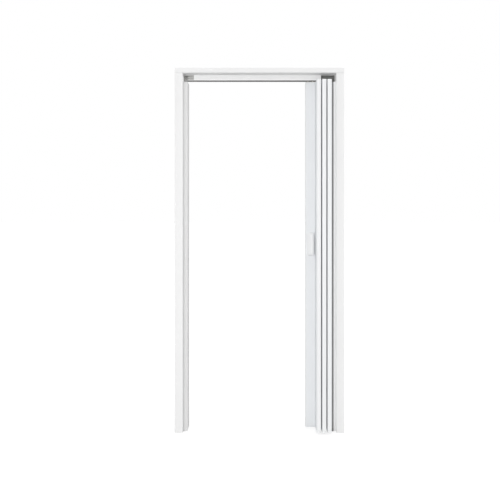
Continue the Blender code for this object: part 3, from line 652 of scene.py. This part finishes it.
# %% [markdown]
# The back pull is the front one's mirror image. Mirroring turns a mesh inside out, so its normals are
# worked out again. Each clamp screw has two bores: a wide one for the head, down to its seat, and a
# narrow one for the shank. They are cut with round cutters, since a subdivision surface can't hold a
# clean hole. A cut leaves specks and slivers along its rims, and these are merged last, so that the mesh
# stays closed.

# %% The back pull
SCREW_SLACK = 0.3 * MM
# How far a cutter runs on past the face that it leaves by
OVERRUN = 1 * MM
BORE_SIDES = 40
SPECK = 0.12 * MM
HANDLE_SCREWS = ("lower_handle_screw", "upper_handle_screw")
SHANK_RADIUS = 1.8 * MM
HEAD_HEIGHT = 2.0 * MM
HEAD_SEAT_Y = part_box("upper_handle_screw")[1].y - HEAD_HEIGHT


def drill(piece, place, radius, depth_from, depth_to):
    """Cuts a round hole along Y between two depths."""
    middle = (place.x, (depth_from + depth_to) / 2, place.z)
    turn = (math.pi / 2, 0, 0)
    length = abs(depth_to - depth_from)
    bpy.ops.mesh.primitive_cylinder_add(
        vertices=BORE_SIDES, radius=radius, depth=length, location=middle, rotation=turn
    )
    join_solids(piece, bpy.context.active_object, "DIFFERENCE")


def clear_specks(piece):
    """Merges the specks and slivers that a cut leaves along its rims."""
    only(piece)
    bpy.ops.object.mode_set(mode="EDIT")
    bpy.ops.mesh.select_all(action="SELECT")
    bpy.ops.mesh.dissolve_degenerate(threshold=SPECK)
    bpy.ops.mesh.quads_convert_to_tris()
    bpy.ops.object.mode_set(mode="OBJECT")


def make_back_pull():
    piece = copy_of(front_pull.data, "back_pull")
    piece.scale.y = -1
    bpy.ops.object.transform_apply(location=True, rotation=True, scale=True)
    bpy.ops.object.mode_set(mode="EDIT")
    bpy.ops.mesh.select_all(action="SELECT")
    bpy.ops.mesh.normals_make_consistent(inside=False)
    bpy.ops.object.mode_set(mode="OBJECT")
    outer_face_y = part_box("back_handle")[1].y
    for name in HANDLE_SCREWS:
        low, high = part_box(name)
        middle = (low + high) / 2
        head_radius = (high.x - low.x) / 2
        drill(piece, middle, head_radius + SCREW_SLACK, HEAD_SEAT_Y, outer_face_y + OVERRUN)
        drill(piece, middle, SHANK_RADIUS + SCREW_SLACK, -PANEL_Y - OVERRUN, HEAD_SEAT_Y + OVERRUN / 2)
    clear_specks(piece)
    bpy.ops.object.shade_smooth_by_angle(angle=SHARP)
    return piece


back_pull = make_back_pull()
stand_for(back_pull, PULL_ABS, "handle_plastic", "back_handle")
print("Back pull faces:", len(back_pull.data.polygons))

# %% [markdown]
# The screws are headed and threaded from wire, so each one grows along a single axis, and two kinds are
# enough: a countersunk wood screw and a machine screw for the pulls. Both have a cross recess. Its
# cutter is made of two arms that cross, each a block that narrows with depth.

# %% The cross recess
RECESS_TAPER_SHARE = 0.5
ARM_WIDTHS_ACROSS = 5


def cross_cutter(width, depth):
    """A plus that narrows with depth, with its wide end a little proud of Z zero."""
    wing = width / ARM_WIDTHS_ACROSS
    arms = []
    for size in ((width, wing, depth), (wing, width, depth)):
        arm = add_block(size, (0, 0, depth / 2 - SAME_PLACE))
        pick(arm, "FACE", lambda place, normal: normal.z > SQUARE)
        taper = (RECESS_TAPER_SHARE, RECESS_TAPER_SHARE, 1)
        bpy.ops.transform.resize(value=taper, center_override=(0, 0, depth))
        bpy.ops.object.mode_set(mode="OBJECT")
        arms.append(arm)
    join_solids(arms[0], arms[1], "UNION")
    return arms[0]


# %% [markdown]
# A thread is one ridge wound round the core. A spiral curve with a bevel could make it, but a Screw
# modifier on a small triangle gives exact flanks and a known number of faces. The triangle's side lies
# inside the core, so that the two solids overlap and join into one.

# %% The thread
THREAD_STEPS = 16


def wind_thread(crest, ridge, pitch, start, end):
    """A ridge wound round Z. Its profile is a triangle whose tip reaches the crest."""
    upright = (math.pi / 2, math.pi / 2, 0)
    foot = (crest - ridge, 0, start)
    bpy.ops.mesh.primitive_circle_add(vertices=3, radius=ridge, location=foot, rotation=upright)
    thread = bpy.context.active_object
    bpy.ops.object.transform_apply(location=True, rotation=True, scale=True)
    wind = thread.modifiers.new("wind", "SCREW")
    wind.screw_offset = pitch
    wind.iterations = int((end - start) / pitch)
    wind.steps = THREAD_STEPS
    wind.render_steps = THREAD_STEPS
    only(thread)
    print("Thread turns:", wind.iterations)
    bpy.ops.object.modifier_apply(modifier=wind.name)
    bpy.ops.object.mode_set(mode="EDIT")
    bpy.ops.mesh.select_all(action="SELECT")
    bpy.ops.mesh.fill_holes(sides=3)
    bpy.ops.mesh.select_all(action="SELECT")
    bpy.ops.mesh.normals_make_consistent(inside=False)
    bpy.ops.object.mode_set(mode="OBJECT")
    return thread


# %% [markdown]
# A cone or a cylinder is the head. Its far face is extruded and scaled, step by step, into the shank, the
# core and the point, as a lathe would turn them. The thread and the recess come last, because they cut
# up the clean rings of faces that the steps are picked by.

# %% Turning a screw
SCREW_SIDES = 32
THREAD_RIDGE = 0.55 * MM
HEAD_EDGE = 0.2 * MM
CORE_STEP = 0.6 * MM
POINT_SHARE = 0.08
RECESS_WIDTH_SHARE = 1.3
RECESS_DEPTH_SHARE = 0.8


def grow(up, share=1.0):
    """Extrudes the selected end along Z and scales it about the axis."""
    bpy.ops.mesh.extrude_region_move(TRANSFORM_OT_translate={"value": (0, 0, up)})
    bpy.ops.transform.resize(value=(share, share, 1), center_override=(0, 0, 0))


def turn_screw(head, head_foot, head_height, shank, core, plain, point, length, pitch):
    """A screw up the Z axis. Head, head foot, shank and core are radii, the others are lengths."""
    middle = (0, 0, head_height / 2)
    bpy.ops.mesh.primitive_cone_add(
        vertices=SCREW_SIDES, radius1=head, radius2=head_foot, depth=head_height, location=middle
    )
    screw = bpy.context.active_object
    bpy.ops.object.transform_apply(location=True, rotation=True, scale=True)
    bpy.ops.object.mode_set(mode="EDIT")
    pick(screw, "FACE", lambda place, normal: normal.z > SQUARE)
    if head_foot > shank:
        bpy.ops.mesh.inset(thickness=head_foot - shank, depth=0)
    grow(plain)
    grow(CORE_STEP, core / shank)
    core_run = length - head_height - plain - CORE_STEP - point
    grow(core_run)
    grow(point, POINT_SHARE)
    pick(screw, "EDGE", lambda place, edge: all(near(vert.co.z, 0) for vert in edge.verts))
    bpy.ops.mesh.bevel(offset=HEAD_EDGE, segments=2, affect="EDGES")
    bpy.ops.object.mode_set(mode="OBJECT")
    start = head_height + plain + CORE_STEP + THREAD_RIDGE
    join_solids(screw, wind_thread(shank, THREAD_RIDGE, pitch, start, length - point), "UNION")
    cutter = cross_cutter(head * RECESS_WIDTH_SHARE, head_height * RECESS_DEPTH_SHARE)
    join_solids(screw, cutter, "DIFFERENCE")
    only(screw)
    bpy.ops.object.shade_smooth_by_angle(angle=SHARP)
    return screw


# %% [markdown]
# Each kind of screw is turned once, as a master. Its length and its head's width come from a node's box,
# and the rest are the usual sizes of a screw of that width.

# %% The two masters
low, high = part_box("track_screw_1")
wood_screw = turn_screw(
    head=(high.x - low.x) / 2,
    head_foot=1.7 * MM,
    head_height=1.7 * MM,
    shank=1.7 * MM,
    core=1.2 * MM,
    plain=8 * MM,
    point=4 * MM,
    length=high.z - low.z,
    pitch=1.6 * MM,
)
low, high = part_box("upper_handle_screw")
clamp_screw = turn_screw(
    head=(high.x - low.x) / 2,
    head_foot=(high.x - low.x) / 2,
    head_height=HEAD_HEIGHT,
    shank=SHANK_RADIUS,
    core=1.35 * MM,
    plain=6 * MM,
    point=1.2 * MM,
    length=high.y - low.y,
    pitch=1.2 * MM,
)
print("Wood screw faces:", len(wood_screw.data.polygons))
print("Clamp screw faces:", len(clamp_screw.data.polygons))

# %% [markdown]
# The two masters stand on Z with their heads at zero. Each screw is a copy with a mesh of its own, turned
# the way it was driven in, with its head at the outer end of its node. The masters are then removed.

# %% Laying the screws in place
SCREW_NUMBERS = (1, 2, 3)
WAYS_IN = {"track_screw": (0, 0, 1), "strike_screw": (-1, 0, 0), "wall_screw": (1, 0, 0)}


def lay_screw(master, name, way):
    """A copy of a master whose head lies at the outer end of its node."""
    low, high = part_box(name)
    middle = (low + high) / 2
    way = Vector(way)
    half_length = abs((high - low).dot(way)) / 2
    piece = copy_of(master.data, name + "_finished")
    piece.rotation_euler = Vector((0, 0, 1)).rotation_difference(way).to_euler()
    piece.location = middle - way * half_length
    bpy.ops.object.transform_apply(location=True, rotation=True, scale=True)
    stand_for(piece, ZINC, "screw_steel", name)


for family, way in WAYS_IN.items():
    for number in SCREW_NUMBERS:
        lay_screw(wood_screw, f"{family}_{number}", way)
for name in HANDLE_SCREWS:
    lay_screw(clamp_screw, name, (0, -1, 0))
for master in (wood_screw, clamp_screw):
    bpy.data.objects.remove(master)
print("Screws laid:", len(SCREW_NUMBERS) * len(WAYS_IN) + len(HANDLE_SCREWS))

# %% [markdown]
# A hanger is one nylon moulding. A round runner glides on the track's lips, a neck passes down through
# the slot, and a flange and a plug carry the top end of a slat. The runner and the neck start from a
# cylinder: its rim is bevelled, its top is dished, and its foot is inset and extruded into the neck.

# %% Runner and neck
RUNNER_SIDES = 48
RUNNER_RADIUS = 6.5 * MM
RUNNER_THICKNESS = 3.0 * MM
RUNNER_RIM = 0.6 * MM
NECK_RADIUS = 2.5 * MM
NECK_FILLET = 0.4 * MM
DISH_MARGIN = 1.6 * MM
DISH_DEPTH = 0.5 * MM
FLANGE_THICKNESS = 2.0 * MM


def on_ring(edge, radius):
    """An edge of a level ring round Z."""
    level = near(edge.verts[0].co.z, edge.verts[1].co.z)
    return level and all(near(vert.co.xy.length, radius) for vert in edge.verts)


def turn_runner(top, neck_foot):
    """A dished disc with its neck below it, round the Z axis."""
    middle = (0, 0, top - RUNNER_THICKNESS / 2)
    bpy.ops.mesh.primitive_cylinder_add(
        vertices=RUNNER_SIDES, radius=RUNNER_RADIUS, depth=RUNNER_THICKNESS, location=middle
    )
    runner = bpy.context.active_object
    bpy.ops.object.transform_apply(location=True, rotation=True, scale=True)
    bpy.ops.object.mode_set(mode="EDIT")
    pick(runner, "EDGE", lambda place, edge: on_ring(edge, RUNNER_RADIUS))
    bpy.ops.mesh.bevel(offset=RUNNER_RIM, segments=3, affect="EDGES")
    pick(runner, "FACE", lambda place, normal: normal.z > SQUARE and near(place.z, top))
    bpy.ops.mesh.inset(thickness=DISH_MARGIN, depth=0)
    bpy.ops.mesh.inset(thickness=DISH_DEPTH, depth=-DISH_DEPTH)
    foot = top - RUNNER_THICKNESS
    pick(runner, "FACE", lambda place, normal: normal.z < -SQUARE and near(place.z, foot))
    bpy.ops.mesh.inset(thickness=RUNNER_RADIUS - RUNNER_RIM - NECK_RADIUS, depth=0)
    bpy.ops.mesh.extrude_region_move(TRANSFORM_OT_translate={"value": (0, 0, neck_foot - foot)})
    pick(runner, "EDGE", lambda place, edge: on_ring(edge, NECK_RADIUS) and near(place.z, foot))
    bpy.ops.mesh.bevel(offset=NECK_FILLET, segments=3, affect="EDGES")
    bpy.ops.object.mode_set(mode="OBJECT")
    return runner


# %% [markdown]
# The flange lies on the slat's top end, and the plug fits the hollow below it with a little room. Both
# are blocks whose upright edges are rounded, joined to the neck. A moulding has to come out of its
# mould, so the plug is also drawn in towards its foot.

# %% Flange and plug
FLANGE_OVERLAP = 2.0 * MM
FLANGE_CORNER = 1.2 * MM
PLUG_DEPTH = 14.0 * MM
PLUG_CORNER = 0.8 * MM
PLUG_DRAFT_SHARE = 0.94
FIT = 0.3 * MM


def rounded_block(size, middle, corner, draft_share=1.0):
    """A block with its upright corners bevelled, whose foot may be drawn in by a draft."""
    piece = add_block(size, middle)
    foot = middle[2] - size[2] / 2
    pick(piece, "EDGE", lambda place, edge: near(place.z, middle[2]))
    bpy.ops.mesh.bevel(offset=corner, segments=4, affect="EDGES")
    pick(piece, "FACE", lambda place, normal: normal.z < -SQUARE)
    bpy.ops.transform.resize(value=(draft_share, draft_share, 1), center_override=(0, 0, foot))
    bpy.ops.object.mode_set(mode="OBJECT")
    return piece


def mould_hanger(name, body_thickness, body_wall):
    """A hanger about the Z axis, as long as its node and lying along X or Y as its node does."""
    low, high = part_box(name)
    half_flange = max(high.x - low.x, high.y - low.y) / 2
    foot = low.z + PLUG_DEPTH + FIT
    half_plug = half_flange - FLANGE_OVERLAP
    plug_thickness = body_thickness - 2 * body_wall - 2 * FIT
    flange = (2 * half_flange, body_thickness, FLANGE_THICKNESS)
    plug = (2 * half_plug, plug_thickness, PLUG_DEPTH + FIT + FLANGE_THICKNESS / 2)
    hanger = turn_runner(high.z, foot + FLANGE_THICKNESS / 2)
    join_solids(hanger, rounded_block(flange, (0, 0, foot + FLANGE_THICKNESS / 2), FLANGE_CORNER), "UNION")
    middle = (0, 0, low.z + plug[2] / 2)
    join_solids(hanger, rounded_block(plug, middle, PLUG_CORNER, PLUG_DRAFT_SHARE), "UNION")
    if high.y - low.y > high.x - low.x:
        hanger.rotation_euler.z = math.pi / 2
    only(hanger)
    bpy.ops.object.transform_apply(location=True, rotation=True, scale=True)
    bpy.ops.object.shade_smooth_by_angle(angle=SHARP)
    return hanger


# %% [markdown]
# The slats' hangers are all alike, and so are the lead panel's two, whose plugs fit its thicker walls.
# One master is moulded for each family, and a copy goes to each place.

# %% Hangers in the slats and in the lead panel
SLAT_WALL = 1.2 * MM
LEAD_WALL = 1.5 * MM


def thickness(name, axis):
    """A node's size along one axis."""
    low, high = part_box(name)
    return (high - low)["xyz".index(axis)]


def hang(names, body_thickness, body_wall):
    """Moulds one hanger for a family of equal ones and puts a copy at each of their places."""
    master = mould_hanger(names[0], body_thickness, body_wall)
    for name in names:
        low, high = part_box(name)
        piece = copy_of(master.data, name + "_finished")
        piece.location = ((low.x + high.x) / 2, (low.y + high.y) / 2, 0)
        bpy.ops.object.transform_apply(location=True, rotation=True, scale=True)
        stand_for(piece, RUNNER_NYLON, "runner_nylon", name)
    bpy.data.objects.remove(master)
    print(len(names), "hangers of", len(piece.data.polygons), "faces")


hang([f"hanger_{number}" for number in (2, 3, 4, 5)], thickness("slat_2", "x"), SLAT_WALL)
hang(["left_lead_hanger", "right_lead_hanger"], thickness("lead_bottom_cap", "y"), LEAD_WALL)

# %% [markdown]
# The studio is a white paper floor under a white sky. Paper that sent all its light back would flood the
# door from below, so to every other surface it is a mid grey. Only the camera, and what a glossy surface
# mirrors, see it as white. It still takes a share of real light there, so the object's shadow stays.

# %% Paper floor
FLOOR_SIZE = 60.0
PAPER_GLOW = 0.78
PAPER_SHARE = 0.30
PAPER_BOUNCE = "#A8A8A8"


def seen_directly(tree):
    """One for rays from the camera, and for those that gloss or glass sends on."""
    rays = node(tree, "ShaderNodeLightPath")
    sent_on = {0: rays.outputs["Is Glossy Ray"], 1: rays.outputs["Is Transmission Ray"]}
    mirrored = node(tree, "ShaderNodeMath", sent_on)
    either = {0: rays.outputs["Is Camera Ray"], 1: mirrored.outputs[0]}
    return node(tree, "ShaderNodeMath", either, use_clamp=True).outputs[0]


def paper():
    material = bpy.data.materials.new("white_paper")
    material.use_nodes = True
    tree = material.node_tree
    bounce = node(tree, "ShaderNodeBsdfDiffuse", {"Color": linear(PAPER_BOUNCE)})
    glow = node(tree, "ShaderNodeEmission", {"Strength": PAPER_GLOW})
    share = node(tree, "ShaderNodeBsdfDiffuse", {"Color": (PAPER_SHARE, PAPER_SHARE, PAPER_SHARE, 1)})
    white = node(tree, "ShaderNodeAddShader", {0: glow.outputs[0], 1: share.outputs[0]})
    sides = {0: seen_directly(tree), 1: bounce.outputs[0], 2: white.outputs[0]}
    mix = node(tree, "ShaderNodeMixShader", sides)
    tree.links.new(mix.outputs[0], tree.nodes["Material Output"].inputs["Surface"])
    return material


bpy.ops.mesh.primitive_plane_add(size=FLOOR_SIZE, location=(0, 0, 0))
floor = bpy.context.active_object
floor.name = "paper_floor"
floor.data.materials.append(paper())
print("Floor:", FLOOR_SIZE, "m square")

# %% [markdown]
# The photograph's light is a broad, soft studio light: nearly the same from the top of the opening to
# its foot, and a little stronger from the left. A white sky, a little under full strength, gives the
# even part. A large key lamp seven metres off, to the left and low, gives most of the rest. A second one
# stands six metres off at the right, nearly in the wall's plane, so it mainly lights the faces that
# look right: the left reveal and its profile. It hangs higher than the opening, so the soffit stays
# grey. The lamps come down before a pale face clips to white, and the colours stay.

# %% Sky and lamps
SKY_STRENGTH = 0.85
LAMP_AIM = (0.0, 0.0, 1.0)
LAMP_SIZE = 1.4
KEY_PLACE = (-3.0, -6.3, 0.7)
KEY_POWER = 158.0
SIDE_PLACE = (6.0, -1.0, 2.4)
SIDE_POWER = 130.0


def make_sky():
    world = bpy.data.worlds.new("white_sky")
    bpy.context.scene.world = world
    world.use_nodes = True
    tree = world.node_tree
    direct = seen_directly(tree)
    strength = node(tree, "ShaderNodeMapRange", {"Value": direct, "To Min": SKY_STRENGTH, "To Max": 1.0})
    sky = tree.nodes["Background"]
    sky.inputs["Color"].default_value = linear("#FFFFFF")
    tree.links.new(strength.outputs[0], sky.inputs["Strength"])


def make_lamp(name, place, power):
    """A round soft lamp that faces the middle of the door."""
    bpy.ops.object.light_add(type="AREA", location=place)
    lamp = bpy.context.active_object
    lamp.name = name
    lamp.data.shape = "DISK"
    lamp.data.size = LAMP_SIZE
    lamp.data.energy = power
    lamp.rotation_euler = (Vector(LAMP_AIM) - Vector(place)).to_track_quat("-Z", "Y").to_euler()


make_sky()
make_lamp("key_light", KEY_PLACE, KEY_POWER)
make_lamp("side_light", SIDE_PLACE, SIDE_POWER)
bpy.context.scene.view_settings.view_transform = "Standard"
print("Sky", SKY_STRENGTH, "key", KEY_POWER, "W", "side", SIDE_POWER, "W")

# %% [markdown]
# The photograph looks straight along Y from a little left of the door's middle. The lines of the opening
# stay upright, so the camera is level, and only a vertical shift brings the whole opening into the frame.
# The lens and the place were worked out from the opening's height and from how its sides recede.

# %% Camera
CAMERA_PLACE = (-0.0545, -2.555, 1.308)
LENS = 31.40
SENSOR = 36.0
DOWNWARD_SHIFT = -0.09

bpy.ops.object.camera_add(location=CAMERA_PLACE, rotation=(math.pi / 2, 0, 0))
camera = bpy.context.active_object
camera.name = "photograph_camera"
camera.data.lens = LENS
camera.data.sensor_width = SENSOR
camera.data.shift_y = DOWNWARD_SHIFT
bpy.context.scene.camera = camera
print("Camera at", CAMERA_PLACE)
